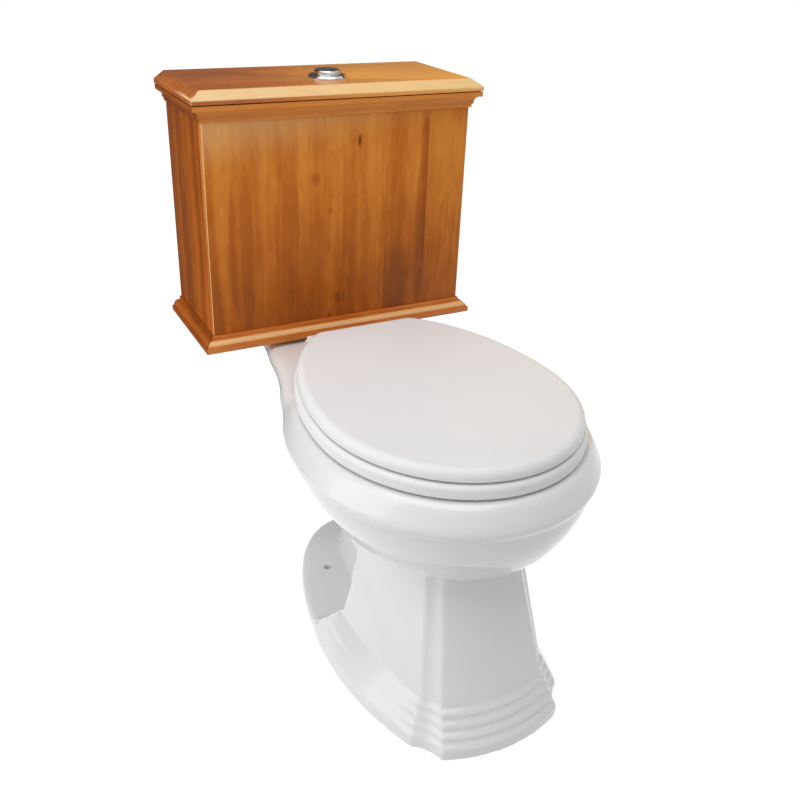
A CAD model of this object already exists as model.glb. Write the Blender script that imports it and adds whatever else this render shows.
"""Looks of a close-coupled toilet: glazed china, plastic seat, varnished wooden tank and chrome button."""

import math

import bmesh
import bpy
import numpy as np
from mathutils import Matrix, Vector


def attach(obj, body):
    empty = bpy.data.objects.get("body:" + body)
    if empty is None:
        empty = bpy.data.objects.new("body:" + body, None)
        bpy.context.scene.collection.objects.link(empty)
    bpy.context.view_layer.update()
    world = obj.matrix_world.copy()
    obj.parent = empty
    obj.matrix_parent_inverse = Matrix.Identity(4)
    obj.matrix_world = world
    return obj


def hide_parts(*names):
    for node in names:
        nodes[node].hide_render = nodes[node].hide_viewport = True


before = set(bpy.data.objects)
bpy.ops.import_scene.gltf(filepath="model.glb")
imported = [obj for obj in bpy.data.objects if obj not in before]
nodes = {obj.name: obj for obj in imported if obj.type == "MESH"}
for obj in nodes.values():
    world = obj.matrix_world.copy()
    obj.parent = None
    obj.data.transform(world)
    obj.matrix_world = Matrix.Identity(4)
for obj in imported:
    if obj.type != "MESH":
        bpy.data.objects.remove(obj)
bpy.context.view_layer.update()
CHINA = sorted(name for name in nodes if name.startswith("bowl"))
scene = bpy.context.scene
scene.view_settings.view_transform = "Standard"


# Camera at the photograph's viewing angle, worked out from the tank's straight edges

EYE = Vector((-0.5875, -1.1767, 1.0311))
AZIMUTH = math.radians(-28.615)
PITCH = math.radians(27.955)
ROLL = math.radians(2.401)
LENS_MM = 41.2
SENSOR_MM = 36


def make_camera():
    data = bpy.data.cameras.new("camera")
    data.sensor_width = SENSOR_MM
    data.lens = LENS_MM
    camera = bpy.data.objects.new("camera", data)
    back = Vector((math.sin(AZIMUTH) * math.cos(PITCH), -math.cos(AZIMUTH) * math.cos(PITCH),
                   math.sin(PITCH)))
    level = Vector((math.cos(AZIMUTH), math.sin(AZIMUTH), 0))
    upright = back.cross(level)
    right = level * math.cos(ROLL) + upright * math.sin(ROLL)
    up = upright * math.cos(ROLL) - level * math.sin(ROLL)
    camera.matrix_world = Matrix.Translation(EYE) @ Matrix((right, up, back)).transposed().to_4x4()
    scene.collection.objects.link(camera)
    scene.camera = camera


# Node trees

class Tree:
    """A material's nodes, with one short call for each kind that the looks need."""

    def __init__(self, name):
        self.material = bpy.data.materials.new(name)
        self.material.use_nodes = True
        self.tree = self.material.node_tree
        self.shader = self.tree.nodes["Principled BSDF"]

    def add(self, kind, **settings):
        made = self.tree.nodes.new(kind)
        for name, value in settings.items():
            setattr(made, name, value)
        return made

    def put(self, socket, value):
        """A socket gets a link, or a plain value."""
        if isinstance(value, bpy.types.NodeSocket):
            self.tree.links.new(value, socket)
        else:
            socket.default_value = value

    def place(self):
        """The point in the part's own frame, in metres."""
        return self.add("ShaderNodeTexCoord").outputs["Object"]

    def math(self, operation, a, b=0.0, c=0.0):
        made = self.add("ShaderNodeMath", operation=operation)
        for socket, value in zip(made.inputs, (a, b, c)):
            self.put(socket, value)
        return made.outputs[0]

    def split(self, vector):
        made = self.add("ShaderNodeSeparateXYZ")
        self.put(made.inputs[0], vector)
        return list(made.outputs)

    def join(self, x, y, z):
        made = self.add("ShaderNodeCombineXYZ")
        for socket, value in zip(made.inputs, (x, y, z)):
            self.put(socket, value)
        return made.outputs[0]

    def noise(self, vector, scale, detail=2.0, roughness=0.5, distortion=0.0):
        made = self.add("ShaderNodeTexNoise")
        self.put(made.inputs["Vector"], vector)
        self.put(made.inputs["Scale"], scale)
        self.put(made.inputs["Detail"], detail)
        self.put(made.inputs["Roughness"], roughness)
        self.put(made.inputs["Distortion"], distortion)
        return made.outputs["Fac"]

    def cell(self, value):
        """A fixed number from 0 to 1 for each whole number."""
        made = self.add("ShaderNodeTexWhiteNoise", noise_dimensions="1D")
        self.put(made.inputs["W"], value)
        return made.outputs["Value"]

    def spread(self, value, low, high, to_low=0.0, to_high=1.0, smooth=False):
        kind = "SMOOTHSTEP" if smooth else "LINEAR"
        made = self.add("ShaderNodeMapRange", interpolation_type=kind)
        for socket, number in zip(made.inputs[:5], (value, low, high, to_low, to_high)):
            self.put(socket, number)
        return made.outputs["Result"]

    def ramp(self, value, stops):
        made = self.add("ShaderNodeValToRGB")
        self.put(made.inputs[0], value)
        band = made.color_ramp.elements
        while len(band) < len(stops):
            band.new(0.5)
        for element, (place, color) in zip(band, stops):
            element.position = place
            element.color = (*color, 1)
        return made.outputs["Color"]

    def mix(self, share, a, b, blend="MIX"):
        made = self.add("ShaderNodeMix", data_type="RGBA", blend_type=blend)
        self.put(made.inputs["Factor"], share)
        self.put(made.inputs["A"], (*a, 1) if isinstance(a, tuple) else a)
        self.put(made.inputs["B"], (*b, 1) if isinstance(b, tuple) else b)
        return made.outputs["Result"]

    def bump(self, height, strength, distance):
        made = self.add("ShaderNodeBump")
        made.inputs["Strength"].default_value = strength
        made.inputs["Distance"].default_value = distance
        self.put(made.inputs["Height"], height)
        self.put(self.shader.inputs["Normal"], made.outputs["Normal"])

    def set(self, **values):
        for name, value in values.items():
            self.put(self.shader.inputs[name.replace("_", " ")], value)


# Wood: stained pine under varnish, in glued boards

WOOD_KNOT = (0.15, 0.034, 0.006)
WOOD_DEEP = (0.31, 0.077, 0.010)
WOOD_DARK = (0.56, 0.145, 0.014)
WOOD_MID = (0.74, 0.250, 0.034)
WOOD_LIGHT = (0.88, 0.370, 0.065)
WOOD_EDGE = (0.96, 0.66, 0.30)
WOOD_STOPS = ((0.0, WOOD_KNOT), (0.2, WOOD_DEEP), (0.4, WOOD_DARK), (0.55, WOOD_MID), (0.75, WOOD_LIGHT))
BOARD_WIDTH = 0.075
BOARD_SHIFT = 1.37
# The figure: scale across the grain, scale along it, detail, roughness and distortion of the noise
BANDS = (24.0, 1.2, 2.0, 0.5, 0.3)
STREAKS = (120.0, 3.0, 2.0, 0.6, 0.0)
FIBRES = (650.0, 24.0, 2.0, 0.65, 0.0)
MOTTLE = (48.0, 20.0, 3.0, 0.55, 0.6)
# How far each of them, and the choice of board, shifts the stain
BAND_SHARE = 0.42
STREAK_SHARE = 0.20
MOTTLE_SHARE = 0.22
FIBRE_SHARE = 0.16
BOARD_SHARE = 0.04
# The grain's wander across a board, in metres, and the noise that gives it
WANDER = 0.03
WANDER_SCALE = 9.0
WANDER_ALONG = 0.3


def wood(name, along, across, seed=0.0, tone=0.0, boards=True, fade=(), marks=(), joints=(), gloss=0.45,
         edge=0.0):
    """Grain along one axis and boards across another. tone shifts the stain, below 0 to darker.
    fade shifts it along the grain: (from, to, shift there, shift here). marks are knots and streaks:
    (place across, place along, half width, half length, depth). joints are stains that end at a board's
    joint: (joint, reach to one side, from, to, depth). edge is how far the slanted front edges are rubbed
    paler."""
    t = Tree(name)
    xyz = dict(zip("xyz", t.split(t.place())))
    deep = ({"x", "y", "z"} - {along, across}).pop()
    wide, run, thick = xyz[across], xyz[along], xyz[deep]

    if boards:
        number = t.math("FLOOR", t.math("DIVIDE", t.math("ADD", wide, seed), BOARD_WIDTH))
        board = t.cell(number)
        run_here = t.math("ADD", run, t.math("MULTIPLY", number, BOARD_SHIFT))
    else:
        board = 0.5
        run_here = t.math("ADD", run, seed)
    drift = t.noise(t.join(wide, thick, t.math("MULTIPLY", run_here, WANDER_ALONG)), WANDER_SCALE, 2.0)
    bent = t.math("ADD", wide, t.math("MULTIPLY", t.math("SUBTRACT", drift, 0.5), WANDER))

    def figure(fine, long, detail, roughness, distortion):
        place = t.join(t.math("MULTIPLY", bent, fine), t.math("MULTIPLY", thick, fine),
                       t.math("MULTIPLY", run_here, long))
        return t.noise(place, 1.0, detail, roughness, distortion)

    bands = figure(*BANDS)
    streaks = figure(*STREAKS)
    fibres = figure(*FIBRES)
    mottle = figure(*MOTTLE)
    shares = ((bands, BAND_SHARE), (streaks, STREAK_SHARE), (mottle, MOTTLE_SHARE), (fibres, FIBRE_SHARE),
              (board, BOARD_SHARE if boards else 0.0))
    level = 0.5 + tone - 0.5 * sum(share for part, share in shares)
    for part, share in shares:
        level = t.math("MULTIPLY_ADD", part, share, level)
    if fade:
        level = t.math("ADD", level, t.spread(run, *fade, True))
    for place, height, half_width, half_length, depth in marks:
        aside = t.math("DIVIDE", t.math("SUBTRACT", bent, place), half_width)
        off = t.math("DIVIDE", t.math("SUBTRACT", run, height), half_length)
        square = t.math("ADD", t.math("MULTIPLY", aside, aside), t.math("MULTIPLY", off, off))
        spot = t.spread(t.math("SQRT", square), 0.25, 1.25, depth, 0.0, True)
        level = t.math("SUBTRACT", level, t.math("MULTIPLY", spot, t.spread(streaks, 0.3, 0.62, 0.6, 1.0)))
    for joint, reach, low, high, depth in joints:
        aside = t.math("DIVIDE", t.math("SUBTRACT", wide, joint), reach)
        beside = t.math("MULTIPLY", t.math("GREATER_THAN", aside, 0.0),
                        t.spread(aside, 0.2, 1.0, depth, 0.0, True))
        ease = 0.25 * (high - low)
        inside = t.math("MULTIPLY", t.spread(run, low, low + ease, 0.0, 1.0, True),
                        t.spread(run, high - ease, high, 1.0, 0.0, True))
        level = t.math("SUBTRACT", level, t.math("MULTIPLY", beside, inside))
    color = t.ramp(level, WOOD_STOPS)
    if edge:
        nx, ny, nz = t.split(t.add("ShaderNodeTexCoord").outputs["Normal"])
        slant = t.math("MULTIPLY", t.math("MULTIPLY", ny, -1.0), t.math("ADD", nz, t.math("ABSOLUTE", nx)))
        rubbed = t.math("MULTIPLY", t.spread(slant, 0.18, 0.42, 0.0, edge, True),
                        t.spread(fibres, 0.3, 0.7, 0.8, 1.0))
        color = t.mix(rubbed, color, WOOD_EDGE)

    t.put(t.shader.inputs["Base Color"], color)
    t.put(t.shader.inputs["Roughness"], t.spread(streaks, 0.3, 0.7, 0.32, 0.42))
    t.set(Specular_IOR_Level=gloss, Coat_Weight=0.4 * gloss, Coat_Roughness=0.14)
    t.bump(t.math("ADD", t.math("MULTIPLY", fibres, 0.4), t.math("MULTIPLY", streaks, 0.6)), 0.12, 0.0004)
    return t.material


# The other materials

CHINA_DARK = (0.785, 0.785, 0.78)
CHINA_LIGHT = (0.82, 0.82, 0.82)


def china():
    """White glaze: faint clouds in its colour, and a slow ripple."""
    t = Tree("glazed_china_look")
    here = t.place()
    cloud = t.noise(here, 6.0, 2.0)
    t.put(t.shader.inputs["Base Color"], t.ramp(cloud, ((0.3, CHINA_DARK), (0.7, CHINA_LIGHT))))
    t.put(t.shader.inputs["Roughness"], t.spread(t.noise(here, 18.0, 3.0), 0.3, 0.7, 0.07, 0.13))
    t.set(Coat_Weight=0.35, Coat_Roughness=0.03)
    t.bump(t.noise(here, 55.0, 1.0), 0.035, 0.0012)
    return t.material


def plastic(name, dark, light, rough, grain, depth, gloss=0.5):
    """Moulded plastic: faint clouds in its colour and a fine skin."""
    t = Tree(name)
    here = t.place()
    t.put(t.shader.inputs["Base Color"], t.ramp(t.noise(here, 9.0, 3.0), ((0.3, dark), (0.7, light))))
    t.put(t.shader.inputs["Roughness"], t.spread(t.noise(here, 30.0, 3.0), 0.3, 0.7, rough[0], rough[1]))
    t.set(Specular_IOR_Level=gloss)
    t.bump(t.noise(here, grain, 2.0), depth, 0.0006)
    return t.material


def metal(name, dark, light, rough, stretch, depth):
    """Worked metal: fine lines drawn out along one axis by stretch."""
    t = Tree(name)
    x, y, z = t.split(t.place())
    lines = t.noise(t.join(t.math("MULTIPLY", x, stretch[0]), t.math("MULTIPLY", y, stretch[1]),
                           t.math("MULTIPLY", z, stretch[2])), 1.0, 3.0, 0.6)
    t.put(t.shader.inputs["Base Color"], t.ramp(lines, ((0.3, dark), (0.7, light))))
    t.put(t.shader.inputs["Roughness"], t.spread(lines, 0.3, 0.7, rough[0], rough[1]))
    t.set(Metallic=1.0)
    t.bump(lines, depth, 0.0003)
    return t.material


def dress(look, *names):
    for name in names:
        mesh = nodes[name].data
        mesh.materials.clear()
        mesh.materials.append(look)


# The wood's marks in the photograph: knots and streaks, stains that end at a joint, and darker ends
FRONT_MARKS = ((0.028, 0.722, 0.0035, 0.011, 0.5), (-0.046, 0.668, 0.008, 0.012, 0.16),
               (-0.022, 0.617, 0.005, 0.006, 0.14), (-0.004, 0.470, 0.006, 0.012, 0.18),
               (-0.020, 0.437, 0.006, 0.012, 0.16), (-0.195, 0.600, 0.012, 0.220, -0.10),
               (-0.180, 0.560, 0.007, 0.120, 0.14), (0.135, 0.560, 0.006, 0.090, 0.14),
               (0.143, 0.465, 0.008, 0.040, 0.16))
FRONT_JOINTS = ((0.150, -0.018, 0.46, 0.80, 0.22), (0.075, 0.060, 0.40, 0.56, 0.08))
FRONT_FADE = (0.42, 0.72, -0.17, 0.02)
LID_MARKS = ((0.236, 0.045, 0.005, 0.012, 0.25), (0.240, 0.160, 0.005, 0.012, 0.25))
LID_FADE = (-0.20, 0.16, -0.24, 0.24)


def make_looks():
    dress(wood("wood_front", "z", "x", 0.0, 0.0, True, FRONT_FADE, FRONT_MARKS, FRONT_JOINTS, 0.12, 1.0),
          "tank_front_panel")
    dress(wood("wood_sides", "z", "y", 0.035, -0.26, gloss=0.03), "tank_left_panel", "tank_right_panel")
    dress(wood("wood_back", "z", "x", 0.31, -0.08, gloss=0.12), "tank_back_panel")
    dress(wood("wood_floor", "x", "y", 0.52, -0.08, gloss=0.12), "tank_floor_panel", "lid_cleats")
    dress(wood("wood_lid", "x", "y", 0.013, 0.05, True, LID_FADE, LID_MARKS, edge=0.9), "tank_lid_board")
    dress(wood("wood_base", "x", "z", 0.7, -0.05, False, edge=0.65), "base_moulding_front")
    dress(wood("wood_crown", "x", "z", 0.7, 0.08, False, gloss=0.3, edge=0.5), "crown_moulding_front")
    dress(wood("wood_side_trim", "y", "z", 0.4, -0.31, False, gloss=0.08), "base_moulding_left",
          "base_moulding_right", "crown_moulding_left", "crown_moulding_right")
    dress(plastic("seat_look", (0.825, 0.83, 0.84), (0.845, 0.85, 0.86), (0.19, 0.25), 30.0, 0.02, 0.2),
          "seat_ring", "seat_lid", "hinge_posts")
    dress(plastic("valve_look", (0.74, 0.75, 0.76), (0.82, 0.83, 0.84), (0.42, 0.55), 900.0, 0.08),
          "tank_liner", "button_nut", "flush_valve_base", "flush_valve_nut", "flush_valve_cage",
          "lift_lever", "flush_piston", "fill_valve_body", "fill_valve_nut", "fill_valve_cap", "float_cup",
          "hinge_nuts")
    dress(plastic("rubber_look", (0.035, 0.035, 0.036), (0.07, 0.07, 0.07), (0.6, 0.75), 1500.0, 0.2),
          "tank_gasket", "piston_seal", "fill_valve_washer", "tank_bolt_seals", "tank_pads",
          "hinge_washers")
    dress(plastic("bumper_look", (0.62, 0.62, 0.61), (0.68, 0.68, 0.67), (0.5, 0.6), 1200.0, 0.1),
          "ring_bumpers", "lid_bumpers")
    dress(metal("chrome_look", (0.50, 0.51, 0.52), (0.58, 0.59, 0.60), (0.04, 0.09), (60, 60, 60), 0.01),
          "button_flange", "flush_button")
    dress(metal("steel_look", (0.44, 0.44, 0.45), (0.62, 0.62, 0.63), (0.24, 0.36), (900, 900, 40), 0.06),
          "hinge_pins", "hinge_studs", "button_spring", "push_rod", "lever_pin", "float_rod")
    dress(metal("brass_look", (0.52, 0.36, 0.12), (0.70, 0.52, 0.22), (0.28, 0.4), (700, 700, 60), 0.06),
          "tank_bolts", "tank_bolt_washers", "tank_bolt_nuts")


# Shading of the CAD meshes, and the softened edges of china and boards

SMOOTH_ANGLE = math.radians(32)
CHINA_VOXEL = 0.0024
# Half the spacing of the floor bolts' holes
FLOOR_BOLT = 0.0762
# The foot's corners: their place at the floor, and how fast they go back with height
CORNER_Y = -0.399
CORNER_LEAN = 0.27
# Turns of smoothing: everywhere, the fewest, and how many more or fewer each place gets
TURNS = 7
FEWEST_TURNS = 2
FRONT_TURNS = -5
DECK_TURNS = 130
SIDE_TURNS = 45
RECESS_TURNS = 14
LEDGE_TURNS = 6
HEM_TURNS = 5
# The front ridges: where they begin, their spacing and how much further they stand out
RIDGE_TOP = 0.066
RIDGE_PITCH = 0.01333
RIDGE_DEPTH = 0.0013
# Where the deck runs out: how far, the place along y and the spread
SWELLS = ((0.007, -0.048, 0.032), (0.006, 0.105, 0.035))
# The neck's back round the slot that the plug closes
PLUG_HALF = 0.04
PLUG_FRONT = 0.14
PLUG_LOW = 0.280
PLUG_HIGH = 0.312
PLUG_DEPTH = 0.012
SOFT_BOARDS = ("tank_front_panel", "tank_left_panel", "tank_right_panel", "tank_back_panel",
               "tank_lid_board")
BOARD_EDGE = 0.0012
BOARD_ANGLE = math.radians(28)


def smooth_all():
    for name in nodes:
        mesh = nodes[name].data
        mesh.shade_smooth()
        mesh.set_sharp_from_angle(angle=SMOOTH_ANGLE)


def ramp(value, start, end):
    """From 0 at start to 1 at end."""
    return np.clip((value - start) / (end - start), 0, 1)


def glaze_reach(points):
    """How many turns of smoothing each point of the china gets: few where its mouldings are crisp, many
    where one form flows into the next."""
    x, y, z = points.T
    aside = np.abs(x)
    deck = ramp(aside, 0.095, 0.115) * ramp(y, -0.11, -0.05) * ramp(y, 0.26, 0.20) * ramp(z, 0.27, 0.31)
    front = ramp(y, -0.29, -0.33) * ramp(z, 0.15, 0.12)
    corner = CORNER_Y + CORNER_LEAN * z
    side = ramp(y, corner, corner + 0.025) * ramp(y, -0.120, -0.135)
    side = side * ramp(z, 0.13, 0.11) * ramp(z, 0.012, 0.026)
    recess = ramp(y, -0.13, -0.08) * ramp(z, 0.30, 0.26)
    ledge = ramp(z, 0.345, 0.355) * ramp(z, 0.395, 0.385)
    hem = ramp(z, 0.012, 0.006)
    hole = ramp(np.hypot(aside - FLOOR_BOLT, y), 0.020, 0.012) * ramp(z, 0.10, 0.08)
    turns = TURNS + FRONT_TURNS * front + DECK_TURNS * deck + SIDE_TURNS * side + RECESS_TURNS * recess
    turns = turns + LEDGE_TURNS * ledge + HEM_TURNS * hem
    return turns * (1 - hole) + FEWEST_TURNS


def front_ridges(points):
    """The foot's ridges stand out more in front than their steps alone give."""
    x, y, z = points.T
    ridge = (RIDGE_TOP - z) / RIDGE_PITCH
    nose = -RIDGE_DEPTH * np.cos(2 * math.pi * ridge)
    nose *= ramp(z, RIDGE_TOP + 0.010, RIDGE_TOP) * ramp(z, 0.010, 0.022)
    points[:, 1] = y - nose * ramp(y, -0.33, -0.37) * ramp(np.abs(x), 0.115, 0.085)


def swell(points):
    """The deck's sides run out to meet the rim in one line."""
    x, y, z = points.T
    out = sum(reach * np.exp(-((y - place) / spread) ** 2) for reach, place, spread in SWELLS)
    out *= ramp(np.abs(x), 0.09, 0.14) * ramp(z, 0.30, 0.35)
    points[:, 0] = x + np.sign(x) * out


def smoothed(mesh):
    """The mesh with each point moved towards the middle of its neighbours, as often as the glaze asks."""
    points = np.empty(3 * len(mesh.vertices))
    mesh.vertices.foreach_get("co", points)
    points = points.reshape(-1, 3)
    ends = np.empty(2 * len(mesh.edges), dtype=np.int32)
    mesh.edges.foreach_get("vertices", ends)
    a, b = ends.reshape(-1, 2).T
    near = np.bincount(a, minlength=len(points)) + np.bincount(b, minlength=len(points))
    swell(points)
    front_ridges(points)
    turns = glaze_reach(points)
    for turn in range(int(turns.max()) + 1):
        step = 0.5 * np.clip(turns - turn, 0, 1)
        for axis in range(3):
            here = points[:, axis]
            total = np.bincount(a, here[b], len(points)) + np.bincount(b, here[a], len(points))
            points[:, axis] = here + step * (total / near - here)
    mesh.vertices.foreach_set("co", points.ravel())
    mesh.shade_smooth()


def neck_plug():
    """The hollow in the neck comes through its back in a slot: a lens of china closes it."""
    plug = bmesh.new()
    for name in ("bowl_neck", "bowl_deck_left", "bowl_deck_right"):
        for vertex in nodes[name].data.vertices:
            x, y, z = vertex.co
            if abs(x) < PLUG_HALF and y > PLUG_FRONT and PLUG_LOW < z < PLUG_HIGH:
                plug.verts.new(vertex.co)
                plug.verts.new((x, y - PLUG_DEPTH, z))
    bmesh.ops.convex_hull(plug, input=plug.verts)
    mesh = bpy.data.meshes.new("plug")
    plug.to_mesh(mesh)
    plug.free()
    return mesh


def join_china(look):
    """The castings as the one glazed piece they are: joined, meshed evenly and smoothed, so that the glaze
    fills each corner by a few millimetres."""
    joined = bmesh.new()
    for name in CHINA:
        joined.from_mesh(nodes[name].data)
    plug = neck_plug()
    joined.from_mesh(plug)
    bpy.data.meshes.remove(plug)
    rough = bpy.data.meshes.new("castings")
    joined.to_mesh(rough)
    joined.free()
    body = bpy.data.objects.new("china_body", rough)
    scene.collection.objects.link(body)
    remesh = body.modifiers.new("even_mesh", "REMESH")
    remesh.mode = "VOXEL"
    remesh.voxel_size = CHINA_VOXEL
    mesh = bpy.data.meshes.new_from_object(body.evaluated_get(bpy.context.evaluated_depsgraph_get()))
    body.modifiers.clear()
    body.data = mesh
    bpy.data.meshes.remove(rough)
    smoothed(mesh)
    mesh.materials.clear()
    mesh.materials.append(look)
    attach(body, "base")
    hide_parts(*CHINA)


def soften_boards():
    for name in SOFT_BOARDS:
        weld = nodes[name].modifiers.new("weld", "WELD")
        weld.merge_threshold = 0.00001
        bevel = nodes[name].modifiers.new("eased_edges", "BEVEL")
        bevel.width = BOARD_EDGE
        bevel.segments = 2
        bevel.limit_method = "ANGLE"
        bevel.angle_limit = BOARD_ANGLE
        bevel.use_clamp_overlap = True
        bevel.harden_normals = True


# Studio: white floor and surroundings, large dim lights

FLOOR_HALF = 9.0
# The floor's greys: what it throws back as light, and what shows a shadow over its own glow
FLOOR_GREY = (0.8, 0.8, 0.8, 1)
FLOOR_SEEN = (0.25, 0.25, 0.25, 1)
FLOOR_GLOW = 0.92
FLAG_HALF = 2.5
FLAG_Y = 0.75
FLAG_TOP = 2.6
FLAG_GREY = (0.10, 0.10, 0.10)
FLAG_AMBER = (1.0, 0.55, 0.10)
WORLD_STRENGTH = 0.40
# Soft boxes: name, place, target, size and brightness
LIGHTS = (("box_left", (-2.8, 0.5, 1.3), (0, 0, 0.2), 3.6, 1.2),
          ("box_above", (-0.5, -0.7, 3.1), (0, -0.1, 0.3), 2.7, 1.75))


def seen(t):
    """1 for rays that show the background: from the camera, or by way of gloss or glass."""
    path = t.add("ShaderNodeLightPath").outputs
    shown = t.math("MAXIMUM", path["Is Camera Ray"], path["Is Glossy Ray"])
    return t.math("MAXIMUM", shown, path["Is Transmission Ray"])


def make_floor():
    mesh = bpy.data.meshes.new("floor")
    mesh.from_pydata([(-FLOOR_HALF, -FLOOR_HALF, 0), (FLOOR_HALF, -FLOOR_HALF, 0),
                      (FLOOR_HALF, FLOOR_HALF, 0), (-FLOOR_HALF, FLOOR_HALF, 0)], [], [(0, 1, 2, 3)])
    floor = bpy.data.objects.new("floor", mesh)
    scene.collection.objects.link(floor)
    t = Tree("floor_look")
    t.tree.nodes.remove(t.shader)
    plain = t.add("ShaderNodeBsdfDiffuse")
    plain.inputs["Color"].default_value = FLOOR_GREY
    shadowed = t.add("ShaderNodeBsdfDiffuse")
    shadowed.inputs["Color"].default_value = FLOOR_SEEN
    glow = t.add("ShaderNodeEmission")
    glow.inputs["Strength"].default_value = FLOOR_GLOW
    white = t.add("ShaderNodeAddShader")
    t.put(white.inputs[0], shadowed.outputs[0])
    t.put(white.inputs[1], glow.outputs[0])
    either = t.add("ShaderNodeMixShader")
    t.put(either.inputs[0], seen(t))
    t.put(either.inputs[1], plain.outputs[0])
    t.put(either.inputs[2], white.outputs[0])
    t.put(t.tree.nodes["Material Output"].inputs["Surface"], either.outputs[0])
    mesh.materials.append(t.material)


def make_flag():
    """A dark screen behind the part, paler to the left and with an amber card on it, which only reflections
    see: the varnish stays deep and the lid warms to the right."""
    mesh = bpy.data.meshes.new("flag")
    mesh.from_pydata([(-FLAG_HALF, FLAG_Y, 0.01), (FLAG_HALF, FLAG_Y, 0.01),
                      (FLAG_HALF, FLAG_Y, FLAG_TOP), (-FLAG_HALF, FLAG_Y, FLAG_TOP)], [], [(0, 1, 2, 3)])
    flag = bpy.data.objects.new("flag", mesh)
    scene.collection.objects.link(flag)
    t = Tree("flag_look")
    x, y, z = t.split(t.place())
    card = t.math("MULTIPLY", t.spread(x, 0.35, 0.85, 0.0, 1.0, True),
                  t.spread(z, 1.2, 1.4, 1.0, 0.0, True))
    t.set(Base_Color=(0.03, 0.025, 0.02, 1), Roughness=1.0, Specular_IOR_Level=0.0)
    shade = t.ramp(card, ((0.0, FLAG_GREY), (1.0, FLAG_AMBER)))
    edge = t.spread(x, -FLAG_HALF, -0.4 * FLAG_HALF, 1.0, 0.0, True)
    t.put(t.shader.inputs["Emission Color"], t.mix(edge, shade, (1.0, 1.0, 1.0)))
    t.set(Emission_Strength=1.0)
    mesh.materials.append(t.material)
    flag.visible_camera = False
    flag.visible_diffuse = False
    flag.visible_transmission = False
    flag.visible_shadow = False


def make_world(strength):
    world = bpy.data.worlds.new("studio")
    world.use_nodes = True
    scene.world = world
    tree = world.node_tree
    sky = tree.nodes["Background"]
    sky.inputs["Color"].default_value = (1, 1, 1, 1)
    path = tree.nodes.new("ShaderNodeLightPath")
    shown = tree.nodes.new("ShaderNodeMath")
    shown.operation = "MAXIMUM"
    tree.links.new(path.outputs["Is Camera Ray"], shown.inputs[0])
    tree.links.new(path.outputs["Is Glossy Ray"], shown.inputs[1])
    every = tree.nodes.new("ShaderNodeMath")
    every.operation = "MAXIMUM"
    tree.links.new(shown.outputs[0], every.inputs[0])
    tree.links.new(path.outputs["Is Transmission Ray"], every.inputs[1])
    level = tree.nodes.new("ShaderNodeMapRange")
    level.inputs["To Min"].default_value = strength
    level.inputs["To Max"].default_value = 1.0
    tree.links.new(every.outputs[0], level.inputs["Value"])
    tree.links.new(level.outputs["Result"], sky.inputs["Strength"])


def make_light(name, place, target, size, brightness):
    """A square soft box: its size in metres and how bright its face is."""
    data = bpy.data.lights.new(name, "AREA")
    data.shape = "SQUARE"
    data.size = size
    data.energy = brightness * math.pi * size ** 2
    light = bpy.data.objects.new(name, data)
    aim = Vector(target) - Vector(place)
    light.matrix_world = Matrix.Translation(place) @ aim.to_track_quat("-Z", "Y").to_matrix().to_4x4()
    scene.collection.objects.link(light)


make_camera()
make_looks()
smooth_all()
join_china(china())
soften_boards()
make_floor()
make_flag()
make_world(WORLD_STRENGTH)
for light in LIGHTS:
    make_light(*light)
